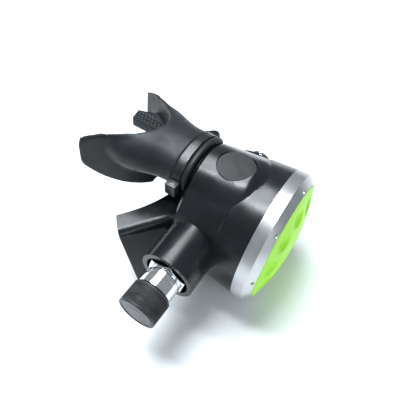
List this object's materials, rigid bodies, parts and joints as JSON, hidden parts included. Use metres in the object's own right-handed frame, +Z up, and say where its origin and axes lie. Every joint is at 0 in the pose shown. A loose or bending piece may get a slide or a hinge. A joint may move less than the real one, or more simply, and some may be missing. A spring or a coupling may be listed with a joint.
{
  "type": "scuba regulator second stage",
  "caption": "Black demand valve with purge cover, metal cover ring, adjusting knob, hose inlet, exhaust tee and silicone mouthpiece; opened by suction or by pressing the cover.",
  "frame": {"origin": "middle of the hose inlet's male thread, on the valve axis", "axes": "+X along the valve axis, out of the hose inlet; +Y along the case axis, from the purge cover towards the mouthpiece; +Z up as it rests"},
  "size_m": [0.124, 0.1159, 0.0764],
  "materials": {
    "housing": "satin-gloss moulded black",
    "ring": "satin silver",
    "cover": "satin lime green",
    "badge": "blank grey inlay",
    "spring_steel": "drawn wire",
    "nylon": "natural nylon",
    "silicone": "soft silicone",
    "steel": "stamped stainless steel",
    "chrome": "bright chrome plate",
    "brass": "turned brass",
    "knob": "diamond knurled charcoal",
    "cap": "smooth grey",
    "mouth_silicone": "matte dark grey silicone",
    "tie": "smooth black nylon"
  },
  "bodies": {
    "housing": {"case": "housing", "badge_disc": "badge", "cover_ring": "ring", "diaphragm_washer": "nylon", "diaphragm": "silicone", "valve_barrel": "chrome", "lever_bracket": "steel", "lever_pin": "steel", "inlet_fitting": "chrome", "inlet_washer": "nylon", "orifice": "brass", "adjuster_body": "chrome", "exhaust_tee": "housing", "mouthpiece": "mouth_silicone", "mouthpiece_tie": "tie"},
    "purge_button": {"purge_cover": "cover", "purge_spring": "spring_steel"},
    "diaphragm_centre": {"diaphragm_plate": "steel"},
    "lever": {"demand_lever": "steel"},
    "poppet_group": {"poppet": "nylon", "poppet_seat": "silicone", "poppet_spring": "spring_steel"},
    "carriage": {"spring_carriage": "brass"},
    "knob": {"adjuster_knob": "knob", "adjuster_spindle": "brass", "knob_screw": "steel", "knob_cap": "cap"},
    "exhaust_flap": {"exhaust_valve": "silicone"}
  },
  "joints": [
    {"name": "purge_press", "type": "slide", "parent": "housing", "child": "purge_button", "axis": [0, 1, 0], "range_m": [0, 0.003], "stiffness_N_per_m": 400, "springref_m": -0.002, "deforming": ["purge_spring"]},
    {"name": "diaphragm_lift", "type": "slide", "parent": "housing", "child": "diaphragm_centre", "axis": [0, 1, 0], "range_m": [0, 0.003], "deforming": ["diaphragm"]},
    {"name": "lever_swing", "type": "hinge", "parent": "housing", "child": "lever", "pos_m": [-0.0563, -0.0104, 0], "axis": [0, 0, 1], "range_deg": [0, 7.9]},
    {"name": "poppet_slide", "type": "slide", "parent": "housing", "child": "poppet_group", "axis": [-1, 0, 0], "range_m": [0, 0.0007], "deforming": ["poppet_spring"]},
    {"name": "knob_turn", "type": "hinge", "parent": "housing", "child": "knob", "pos_m": [-0.1083, 0, 0], "axis": [1, 0, 0], "range_deg": [-360, 360]},
    {"name": "carriage_slide", "type": "slide", "parent": "housing", "child": "carriage", "axis": [1, 0, 0], "range_m": [-0.001, 0.001]},
    {"name": "exhaust_lift", "type": "slide", "parent": "housing", "child": "exhaust_flap", "axis": [0, 1, 0], "range_m": [0, 0.0015], "stiffness_N_per_m": 40, "springref_m": -0.001}
  ],
  "couplings": [
    {"joint": "diaphragm_lift", "follows": "purge_press", "ratio": 1},
    {"joint": "lever_swing", "follows": "purge_press", "rad_per_m": 45.455},
    {"joint": "poppet_slide", "follows": "purge_press", "ratio": 0.23},
    {"joint": "carriage_slide", "follows": "knob_turn", "m_per_rad": 0.00015915}
  ]
}
